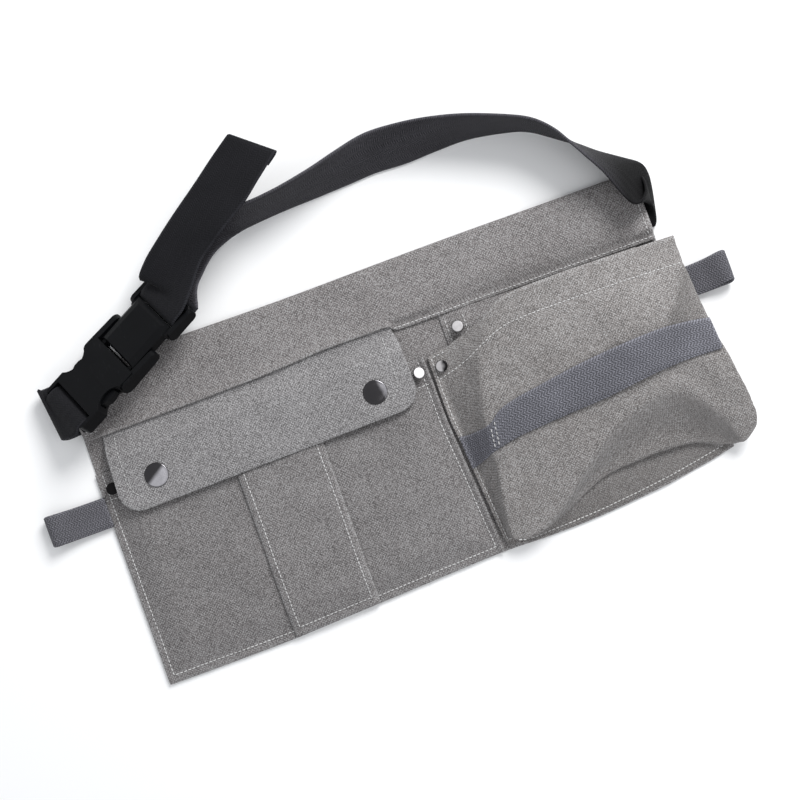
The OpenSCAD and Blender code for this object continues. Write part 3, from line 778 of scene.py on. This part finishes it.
# Each row: flange edge, sewn foot, fold, ridge, how far the cloth tucks under the fold, and how deep it sinks
# behind it. Down the left, along the bottom, up the right.
POUCH_ROWS = [
    [(33.3, 40, 3.8), (37.5, 41, 2.8), (48, 42, 5.5), (79, 52, 19.5), 0, 0],
    [(33.3, 20, 3.8), (37.8, 20, 2.8), (48, 21, 7.5), (67, 28, 21.5), 0, 0.5],
    [(33.4, -5, 3.8), (38, -5, 2.8), (47, -5, 11), (58, -5, 23), 0, 1],
    [(35.6, -30, 3.8), (39.8, -30, 2.8), (46.5, -30, 11), (52, -30, 22.5), 0, 1],
    [(37.5, -55, 3.8), (41.6, -55, 2.8), (47, -54, 10.5), (52.5, -52, 19.5), 0, 1],
    [(39.3, -80, 3.6), (43.2, -80, 2.8), (45.5, -79, 8.5), (48, -79, 15.5), 0, 0.5],
    [(41, -101, 2.6), (44.2, -98.5, 2.6), (44.5, -98.5, 6.5), (45, -100, 11.5), 0, 0],
    [(58, -105, 2.0), (60, -102.5, 2.4), (62, -102, 6), (60, -101.5, 14), 0.5, 0],
    [(86, -105, 2.0), (86, -101, 2.4), (89, -94, 5.5), (82, -91.5, 18), 2, 2],
    [(113, -104, 2.0), (115, -99, 2.4), (119, -82, 6.2), (110, -68, 24), 4, 6],
    [(139, -101.5, 2.0), (140, -96.5, 2.4), (144, -79, 7.2), (135.5, -50.5, 29), 5, 8],
    [(165, -98.3, 2.0), (165, -93.5, 2.4), (167, -78.5, 7.6), (160, -41, 32), 6, 9],
    [(187, -95, 2.0), (186, -90.5, 2.4), (188, -81, 7.4), (187, -43, 28.5), 5, 6],
    [(205, -92, 2.0), (201, -88, 2.4), (204, -86, 7.4), (208, -65, 21), 2, 3.5],
    [(213, -88, 2.0), (211, -86, 2.4), (215, -90, 6.5), (219, -91.5, 10.5), 0, 0],
    [(213.4, -64, 2.0), (211.5, -64, 2.4), (222, -68, 9), (234, -77.5, 16.5), 0, 0],
    [(213.2, -35, 2.0), (211.5, -35, 2.4), (219, -36, 13), (228, -37, 25), 0, 0],
    [(213, -10, 2.0), (211.5, -10, 2.4), (215, -10, 14), (222, -8, 28), 0, 0],
    [(212.6, 15, 2.0), (211, 15, 2.4), (214, 15, 13), (221, 18, 24.5), 0, 0],
    [(212, 41, 2.0), (211, 41, 2.4), (214, 42, 9), (221, 45, 17.5), 0, 0]]
MOUTH = [(79, 52, 19.5), (86, 57, 21.5), (94, 60.4, 23), (106, 61.8, 24.3), (122, 62, 25), (140, 62, 25),
         (160, 61.5, 24), (180, 61, 22), (200, 60.5, 18.5), (221, 60, 15)]


def pouch_row(flange, foot, fold, ridge, tuck, sink):
    """Points from the flange over the fold to the ridge, and last the ridge itself"""
    flange, foot, fold, ridge = (np.array(p, float) for p in (flange, foot, fold, ridge))
    up = (ridge - foot) * (1, 1, 0)
    up = up / max(np.linalg.norm(up), 1e-9)
    flat = min(tuck / 3, 1)
    strip = foot + (fold - foot) * 0.4
    under = foot + (fold - foot) * 0.75
    strip[2] += flat * (2.7 - strip[2])
    under = under + flat * (fold + up * tuck - under)
    under[2] += flat * (3.4 - under[2])
    hollow = fold + (ridge - fold) * 0.42 - np.array([0, 0, sink])
    slope = fold + (ridge - fold) * 0.8 - np.array([0, 0, 0.35 * sink])
    return np.array([flange, foot, strip, under, fold, hollow, slope, ridge])


LEFT_N, LOW_N, RIGHT_N = 46, 70, 46
rows = np.array([pouch_row(*r) for r in POUCH_ROWS])
left_rows, low_rows = spline(rows[:7], 12), spline(rows[6:15], 12)
right_rows = spline(np.concatenate([rows[14:], rows[-1:] + np.array([0, 16, -2.5])]), 12)


def even_rows(r, n):
    """Rows spaced evenly along their ridge"""
    d = lengths(r[:, -1])
    return at_lengths(np.linspace(0, d[-1], n), d, r)


left_rows, low_rows, right_rows = (even_rows(r, n) for r, n in ((left_rows, LEFT_N), (low_rows, LOW_N),
                                                                (right_rows, RIGHT_N)))
front = patch(low_rows[:, -1], spline(MOUTH, 10), left_rows[::-1, -1], right_rows[:, -1], LOW_N, LEFT_N)
fu, fv = np.linspace(0, 1, LOW_N)[:, None], np.linspace(0, 1, LEFT_N)[None, :]
front[..., 2] -= 2.5 * np.sin(math.pi * fu) * np.sin(math.pi * fv)

skirt_rows = np.concatenate([left_rows[:-1], low_rows, right_rows[1:]])
SKIRT_N = 26
skirt = np.stack([resample(spline(r, 8), SKIRT_N) for r in skirt_rows])

# Front and skirt share the points of the ridge
ridge_of_front = np.concatenate([[(0, k) for k in range(LEFT_N - 1, 0, -1)], [(k, 0) for k in range(LOW_N)],
                                 [(LOW_N - 1, k) for k in range(1, LEFT_N)]])
front_id = np.arange(LOW_N * LEFT_N).reshape(LOW_N, LEFT_N)
skirt_id = front_id.size + np.arange(len(skirt) * (SKIRT_N - 1)).reshape(len(skirt), SKIRT_N - 1)
skirt_id = np.concatenate([skirt_id, front_id[ridge_of_front[:, 0], ridge_of_front[:, 1]][:, None]], 1)
pouch_v = np.concatenate([front.reshape(-1, 3), skirt[:, :-1].reshape(-1, 3)])


pouch_f = np.concatenate([quads(front_id), quads(skirt_id)])
skirt_run = np.stack(grid_uv(skirt), -1).reshape(-1, 2)
pouch_uv = np.concatenate([front[..., :2].reshape(-1, 2)[quads(front_id)],
                           skirt_run[grid_faces(*skirt.shape[:2])]])
held = np.zeros(len(pouch_v), bool)
held[skirt_id[:, :3].ravel()] = True
held[front_id[:, -1]] = True
held[skirt_id[0]] = True
held[skirt_id[-1]] = True


def relax(v, f, fixed, times, share=0.5):
    """Evens out a mesh's points, as cloth rounds its folds"""
    pairs = np.concatenate([f[:, [0, 1]], f[:, [1, 2]], f[:, [2, 3]], f[:, [3, 0]]])
    pairs = np.unique(np.concatenate([pairs, pairs[:, ::-1]]), axis=0)
    degree = np.bincount(pairs[:, 0], minlength=len(v))[:, None]
    v = v.copy()
    for _ in range(times):
        total = np.zeros_like(v)
        np.add.at(total, pairs[:, 0], v[pairs[:, 1]])
        step = total / degree - v
        step[fixed] = 0
        v += share * step
    return v


def refine(v, f, uv):
    """Each quad in four"""
    sides = np.concatenate([f[:, [0, 1]], f[:, [1, 2]], f[:, [2, 3]], f[:, [3, 0]]])
    key, inverse = np.unique(np.sort(sides, axis=1), axis=0, return_inverse=True)
    m = len(v) + inverse.ravel().reshape(4, -1)
    c = len(v) + len(key) + np.arange(len(f))
    points = np.concatenate([v, (v[key[:, 0]] + v[key[:, 1]]) / 2, v[f].mean(axis=1)])
    faces = np.concatenate([np.stack([f[:, k], m[k], c, m[k - 1]], 1) for k in range(4)])
    after, before = np.roll(uv, -1, axis=1), np.roll(uv, 1, axis=1)
    uvs = np.concatenate([np.stack([uv[:, k], (uv[:, k] + after[:, k]) / 2, uv.mean(axis=1),
                                    (uv[:, k] + before[:, k]) / 2], 1) for k in range(4)])
    return points, faces, uvs


pouch_v = relax(pouch_v, pouch_f, held, 4)
x, y = pouch_v[:, 0], pouch_v[:, 1]
n = vertex_normals(pouch_v, pouch_f)
free = np.where(held, 0, 1) * smooth(2.2, 8, pouch_v[:, 2])
# Crease from the mouth's right end: the cloth steps up behind it
CREASE_X, CREASE_Y = 217.6, 36.9
CREASE_LEN = 38
ahead = ((x - CREASE_X) * -0.624 + (y - CREASE_Y) * -0.782) / CREASE_LEN
behind = (x - CREASE_X) * 0.782 + (y - CREASE_Y) * -0.624
crease = bell(behind, np.where(behind > 0, 13, 2.2)) * smooth(-0.35, 0.1, ahead) * smooth(1.25, 0.6, ahead)
wave = 0.8 * ripple(x, y, 62, 4) + 0.35 * ripple(x, y, 24, 2)
crease = crease * smooth(0.8, 0.95, n[:, 2])
wave = wave + 3.4 * crease
SECOND_CREASE = [(184, -23), (203, -37), (220, -62)]
wave = wave - 2.0 * bell(far_from(x, y, SECOND_CREASE), 8)
# Painted shade on the low and right folds, and in the hollow beside the crease, where the cloth lies in
# shadow
painted_fold_shade = np.zeros(len(pouch_v))
painted_fold_shade[skirt_id] = np.linspace(1.3, 0, SKIRT_N).clip(0, 1)[None, :] * np.where(skirt[..., 1] > -85, 0.75, 0.85)
painted_fold_shade *= smooth(50, 85, x) * smooth(0.8, 0.97, n[:, 2])
painted_fold_shade = np.maximum(painted_fold_shade, smooth(-0.7, 0.7, behind) * bell(behind, 18) * smooth(-0.3, 0.1, ahead)
                  * smooth(1.4, 0.8, ahead))
pouch_v = pouch_v + n * (free * wave)[:, None]
pouch_v, pouch_f, pouch_uv = refine(np.c_[pouch_v, painted_fold_shade], pouch_f, pouch_uv)
painted_fold_shade = pouch_v[:, 3]
pouch_v = pouch_v[:, :3].copy()
mouth_path = [p[:2] for p in MOUTH]
hem_d = far_from(pouch_v[:, 0], pouch_v[:, 1], mouth_path)
pouch_v = relax(pouch_v, pouch_f, (pouch_v[:, 2] < 2.6) | (hem_d < 0.8), 2)
HEM = 18.5
POUCH_LOWEST = 1.0  # inside the back panel, so that no fold dips through the floor
hem_d = far_from(pouch_v[:, 0], pouch_v[:, 1], mouth_path)
n = vertex_normals(pouch_v, pouch_f)
lift = 0.35 * smooth(HEM, HEM - 1.5, hem_d) - 0.4 * bell(hem_d - HEM, 1.4)
lift = lift + 0.12 * ripple(pouch_v[:, 0], pouch_v[:, 1], 9, 5)
pouch_v = pouch_v + n * (lift * smooth(4, 12, pouch_v[:, 2]))[:, None]
pouch_v[:, 2] = np.maximum(pouch_v[:, 2], POUCH_LOWEST)
pouch = cloth("pouch_cloth", pouch_v, pouch_f, pouch_uv, np.minimum(hem_d, 20), 1.2, POUCH_CANVAS)
# The painted shade is a point attribute on both faces of the pouch; the rim gets none
rim_points = np.zeros(len(pouch.data.vertices) - 2 * len(painted_fold_shade))
pouch.data.attributes.new("painted_fold_shade", "FLOAT", "POINT").data.foreach_set("value", np.r_[painted_fold_shade, painted_fold_shade, rim_points])
sew(pouch, "root", "canvas", "pouch_front", "pouch_gusset")

# ---------- webbing ----------


def ribbon(name, stations, t, material, columns=11, step=2.6):
    """Webbing whose stations are its far edge and its near edge"""
    s = spline(stations, 10)
    d = lengths(s.mean(axis=1))
    edges = at_lengths(np.linspace(0, d[-1], max(int(d[-1] / step), 4)), d, s)
    w = np.linspace(0, 1, columns)[:, None, None]
    return grid_cloth(name, edges[None, :, 0] * (1 - w) + edges[None, :, -1] * w, t, material)


# Band across the pouch front
BAND_TOP = [(35.5, -20.3), (43, -21), (57, -18.5), (67, -11.5), (80, -7.6), (93, -5.5), (112, -2.5),
            (132, 0.2), (160, 2.6), (186, 3.4), (206, 1.6), (221.4, -0.8)]
BAND_LOW = [(37, -43.4), (43, -41.5), (54, -36.3), (65, -33.5), (76, -31.6), (92, -30.2), (112, -28.8),
            (136, -27.3), (157, -24.6), (177, -22.6), (200, -21.6), (223, -22.6)]
BAND_HOVER = [0.9, 1.0, 1.1, 1.2, 1.3, 1.3, 1.5, 2.2, 3.0, 2.6, 1.5, 1.1]
across_n, along_n = 9, 90
POUCH_X1, POUCH_Z = 219, 24  # where the pouch ends, and its height past there
top_path = spline(np.array(BAND_TOP), 10)
low_path = spline(np.array(BAND_LOW), 10)
hover = spline(np.array(BAND_HOVER)[:, None], 10)[:, 0]
pick = np.linspace(0, len(top_path) - 1, along_n).astype(int)
top_path, low_path, hover = top_path[pick], low_path[pick], hover[pick]
web = np.zeros((across_n, along_n, 3))
for i in range(across_n):
    share = i / (across_n - 1)
    line = top_path * (1 - share) + low_path * share
    for k in range(along_n):
        spot = drop(["pouch_cloth"], min(line[k][0], POUCH_X1), line[k][1])
        web[i, k] = (*line[k], (spot[0] if spot else POUCH_Z) + hover[k])
for _ in range(6):
    web[1:-1, :, 2] = (web[1:-1, :, 2] + web[:-2, :, 2] + web[2:, :, 2]) / 3
    web[:, 1:-1, 2] = (web[:, 1:-1, 2] + web[:, :-2, 2] + web[:, 2:, 2]) / 3
pouch_band = grid_cloth("pouch_band_webbing", web, 1.3, GREY_WEB)
sew(pouch_band, "root", "grey_webbing", "pouch_band")


def loop_path(reach, gap):
    """Side view of a webbing loop, from one sewn end round to the other"""
    r = 4.1
    bend = np.radians([75, 40, 5, -35, -75])
    return ([(-2.5, 1.6), (3, 1.7), (10, 2.0 + gap * 0.4), (reach * 0.55, 3.5 + gap), (reach - 8, 7.6)]
            + [(reach - r - 0.7 + r * math.cos(a), 4.0 + r * math.sin(a)) for a in bend]
            + [(reach - 10, 0.15), (reach * 0.5, -0.4), (10, -0.55), (-2.5, -0.6)])


def web_loop(name, root, sign, reach, gap, lean):
    side = spline(np.array(loop_path(reach, gap)), 8)
    side = resample(side, 62)
    g = np.zeros((9, len(side), 3))
    for i, w in enumerate(np.linspace(-10.3, 10.3, 9)):
        g[i, :, 0] = root[0] + sign * side[:, 0]
        g[i, :, 1] = root[1] + w + lean * np.maximum(side[:, 0], 0) / reach * (side[:, 1] + 0.6) / 8
        g[i, :, 2] = root[2] + side[:, 1] + 0.25 * math.cos(w / 4)
    return grid_cloth(name, g, 1.25, LOOP_WEB)


left_loop = web_loop("left_loop_webbing", (-215, 14.5, 2.3), -1, 41, 0.0, 1.0)
right_loop = web_loop("right_loop_webbing", (215, 27, 2.3), 1, 38, 0.6, 2.5)
for piece, node in ((left_loop, "left_loop"), (right_loop, "right_loop")):
    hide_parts(node)

# Waist strap, in the stations that the CAD strap follows
BUCKLE_AT = np.array([-211.9, 87.8, 22.4])
TURN, ROLL = math.radians(28), math.radians(28)
ALONG_BUCKLE = np.array([math.cos(TURN), math.sin(TURN), 0])
ACROSS_BUCKLE = np.array([-math.sin(TURN) * math.cos(ROLL), math.cos(TURN) * math.cos(ROLL), -math.sin(ROLL)])
OUT_OF_BUCKLE = np.cross(ALONG_BUCKLE, ACROSS_BUCKLE)
HALF_STRAP = 18.6


def on_buckle(x, y, z):
    return BUCKLE_AT + x * ALONG_BUCKLE + y * ACROSS_BUCKLE + z * OUT_OF_BUCKLE


def station(x, z):
    return [on_buckle(x, HALF_STRAP, z), on_buckle(x, -HALF_STRAP, z)]


STUB = [
    [(-196, 110.1, 3.2), (-196, 72.5, 3.2)], [(-212, 110, 3.2), (-212, 72.5, 3.2)],
    [(-221, 110, 3.8), (-218, 72, 4.6)], [(-226.5, 109.5, 7), (-221, 72, 9.5)],
    [(-227.5, 110, 13), (-221.5, 72.5, 20)], station(-6, 0.5), station(-1, 4), station(4.5, 4.6),
    station(8.4, 2.6), station(9.2, 0), station(8.4, -2.6), station(4.5, -4.6), station(-0.5, -3.6)]
ARC = [
    [(196, 110.2, 3), (196, 72.4, 3)], [(211.5, 110.2, 3.2), (212, 72.4, 3)],
    [(215.8, 107, 9), (214.6, 73, 2.4)], [(214, 97, 18), (216.5, 77, 1.8)],
    [(207.5, 90, 23.5), (218.8, 87.5, 1.6)], [(200.5, 90.5, 27), (221, 98.5, 1.5)],
    [(196, 98, 27.5), (222, 108.5, 1.5)], [(192.5, 107, 28.5), (219.5, 116.5, 1.4)],
    [(188, 117.5, 31), (209.5, 124, 1.2)], [(180, 130.5, 35), (194.5, 134.5, 1)],
    [(172.5, 143, 37), (182.5, 144.5, 1)], [(165, 155, 38), (169, 154.5, 1)],
    [(154, 166, 38), (155, 164, 1)], [(139, 174, 38), (141, 169, 1)], [(112, 185, 36), (113, 174, 1)],
    [(88, 192, 33), (89, 174, 1)], [(66, 196, 30), (66, 173, 1)], [(43, 197, 29), (44, 174, 1)],
    [(21, 192, 32), (24, 173, 1)], [(-1, 186, 35), (1, 172, 1)], [(-28, 181, 36), (-27, 171, 1)],
    [(-52, 180, 34), (-52, 169, 1)], [(-66, 186, 29), (-62, 167, 2)], [(-83, 192, 20), (-72.5, 163.5, 5)],
    [(-97, 186, 13), (-83, 157.5, 10)], [(-110, 175, 9), (-92, 148.2, 16)],
    [(-117, 164, 8.5), (-99.5, 138, 22.5)], station(113.2, -5)]
TAIL = [
    station(113.2, -5), station(108, -5.2), station(99.6, -5.2), station(95.2, -4.2), station(93.3, -2),
    station(93.1, 0), station(93.3, 2), station(95, 4.2), station(99.6, 5.3), station(106.5, 6.4),
    [(-133.5, 157.5, 23), (-103, 135.5, 36)],
    [(-125, 167, 27), (-90, 152, 36)], [(-112, 177, 30), (-79, 160, 38)], [(-97, 188, 32), (-68, 167, 41)],
    [(-74, 204, 34), (-48, 179, 43)], [(-59, 215, 35), (-34, 190, 44)], [(-43, 226, 36), (-17, 203, 45)]]
# The tail's end is turned back over itself and sewn
tail_end = np.array(TAIL[-1], float)
run = tail_end - np.array(TAIL[-2], float)
run /= np.linalg.norm(run, axis=1, keepdims=True)
rise = np.cross(run[0], tail_end[0] - tail_end[1])
rise *= 1 / np.linalg.norm(rise) if rise[2] < 0 else -1 / np.linalg.norm(rise)
TAIL += [(tail_end + 1.2 * run + 1.1 * rise).tolist(), (tail_end + 2.2 * rise).tolist(),
         (tail_end - 4 * run + 2.1 * rise).tolist(), (tail_end - 9 * run + 2.0 * rise).tolist()]
INSIDE = [[(-195, 110, 3.2), (-195, 72.5, 3.2)], [(0, 110, 3.2), (0, 72.5, 3.2)],
          [(195, 110, 3.2), (195, 72.5, 3.2)]]
STRAP_T = 1.8
for name, stations, node, held, lies_on in (
        ("strap_stub_webbing", STUB, "strap_stub", "folded", ["buckle_female"]),
        ("strap_arc_webbing", ARC, "strap_arc", "laid", ["waistband_cloth"]),
        ("strap_tail_webbing", TAIL, "strap_tail", "laid", ["buckle_male"]),
        ("strap_inside_webbing", INSIDE, "strap_in_band", "laid", ["waistband_cloth"])):
    strap = ribbon(name, np.array(stations, float), STRAP_T, ARC_PAINTED_SHADE_WEB if node == "strap_arc" else BLACK_WEB)
    sew(strap, "root", "black_webbing", node)

# ---------- metal ----------

SNAP_PROFILE = [(7.2, -0.5), (8.4, 0.0), (8.55, 0.5), (8.3, 0.95), (7.8, 1.1), (7.45, 1.02), (7.2, 1.0),
                (6.4, 1.18), (5.4, 1.36), (4.2, 1.54), (3.0, 1.66), (1.8, 1.74), (0.8, 1.77), (0.2, 1.78)]
snap_places = []
for sx, sy in SNAPS:
    z, _ = drop(["flap_cloth"], sx, sy)
    # Painted reflection split on each snap cap: one side painted dark, next to the card light's real
    # highlight
    snap_places.append(((sx, sy, z), (0, 0, 1), (0.45, -0.2, 0.3) if sx < -90 else (1.9, -0.24, -0.04)))
snap_caps = turned("snap_caps_metal", SNAP_PROFILE, snap_places, SNAP_METAL, 56)
sew(snap_caps, "flap_body", "snap_metal", "snap_caps")

RIVET_PROFILE = [(3.6, -0.6), (4.15, -0.1), (4.3, 0.35), (4.15, 0.8), (3.9, 0.98), (3.7, 1.03),
                 (3.4, 1.05), (3.1, 1.05), (0.2, 1.06)]
rivet_on = [["left_pocket_cloth"], ["left_pocket_cloth"], ["pouch_cloth"], ["inner_pocket_cloth"],
            ["inner_pocket_cloth"]]
# Painted shade on each rivet and towards which side. It stands in for a split reflection, and on the first
# rivet for the flap's shadow.
RIVET_PAINTED_SHADE = [(1, 0, 0), (0, 0, 0), (0.2, 0.5, -0.1), (0, 0, 0), (0.5, 0, 0)]
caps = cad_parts["rivet_caps"]
cap_points = np.array([caps.matrix_world @ v.co for v in caps.data.vertices]) / MM
CAP_TOP = RIVET_PROFILE[-1][1]
rivet_places = []
for (rx, ry), on, painted_dark_level in zip(RIVETS, rivet_on, RIVET_PAINTED_SHADE):
    z, normal = drop(on, rx, ry)
    close = np.hypot(cap_points[:, 0] - rx, cap_points[:, 1] - ry) < 6
    z = max(z, cap_points[close, 2].max() - CAP_TOP)
    rivet_places.append(((rx, ry, z), (0.5 * normal.x + 0.1, 0.5 * normal.y + 0.12, 1), painted_dark_level))
rivets = turned("rivet_caps_metal", RIVET_PROFILE, rivet_places, RIVET_METAL, 32)
sew(rivets, "root", "rivet_metal", "rivet_caps")

# ---------- stitching ----------

BAND_SEAMS = [[(18, 66.9), (210, 65.6)], [(-210, 70.4), (-199, 70.3)]]
POUCH_FOOT = [(35.4, 38), (35.4, 20), (35.5, -5), (37.8, -30), (39.6, -55), (41.4, -80), (42.8, -98),
              (60, -103.4), (86, -102.6), (114, -101), (140, -98.6), (165, -95.4), (186, -92), (207, -88)]
POUCH_HEM = [(36, 22.6), (50, 26), (60, 29.6), (72, 35.5), (82, 40), (92, 42.8), (106, 43.5), (140, 43.5),
             (180, 42.5), (219, 41.5)]
root_seams = {
    "pocket_stitches": ([POCKET_SEAM, POCKET_HEM], ["left_pocket_cloth"]),
    "strip_stitches": ([STRIP_SEAM], ["centre_strip_cloth"]),
    "waistband_stitches": (BAND_SEAMS + END_SEAMS, ["waistband_cloth"]),
    "tab_stitches": ([TAB_SEAM, [(66.4, 60), (66.4, 42.6)]], ["inner_pocket_cloth"]),
    "pouch_foot_stitches": ([POUCH_FOOT, [(36.5, 38.6), (46, 39.5)]], ["pouch_cloth"]),
    "pouch_hem_stitches": ([POUCH_HEM], ["pouch_cloth"]),
    "pouch_band_stitches": ([[(57.4, -18), (55.4, -35)], [(60.6, -17.4), (58.6, -34.2)]],
                            ["pouch_band_webbing"]),
}
for name, (paths, on) in root_seams.items():
    sew(stitches(name, paths, on, THREAD), "root", "canvas")
flap_stitches = stitches("flap_stitches", FLAP_SEAMS, ["flap_cloth"], FLAP_THREAD)

for piece in (flap, lining, flap_stitches):
    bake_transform(piece)
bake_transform(left_loop)
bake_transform(right_loop)

# ---------- CAD nodes that stay: moulded buckle, snap parts, rivet backs ----------

finishes = {"buckle_female": PLASTIC, "buckle_male": PLASTIC, "prong_left": PLASTIC, "prong_right": PLASTIC,
            "snap_sockets": SNAP_METAL, "snap_studs": SNAP_METAL, "snap_posts": SNAP_METAL,
            "rivet_backs": RIVET_METAL}
for name, finish in finishes.items():
    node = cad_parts[name]
    node.data.materials.clear()
    node.data.materials.append(finish)
    if finish is PLASTIC:
        weld = node.modifiers.new("weld", "WELD")
        weld.merge_threshold = 0.00002
        bevel = node.modifiers.new("round", "BEVEL")
        bevel.width = 0.0012
        bevel.segments = 3
        bevel.limit_method = "ANGLE"
        bevel.angle_limit = math.radians(32)
        bevel.harden_normals = True

# ---------- floor ----------

FLOOR_HALF, FLOOR_Z = 4000, -0.3
corners = [(sx * FLOOR_HALF, sy * FLOOR_HALF, FLOOR_Z) for sx, sy in ((-1, -1), (1, -1), (1, 1), (-1, 1))]
floor = make("floor", corners,
             [(0, 1, 2, 3)], pale_floor("pale_floor"), flat=True)
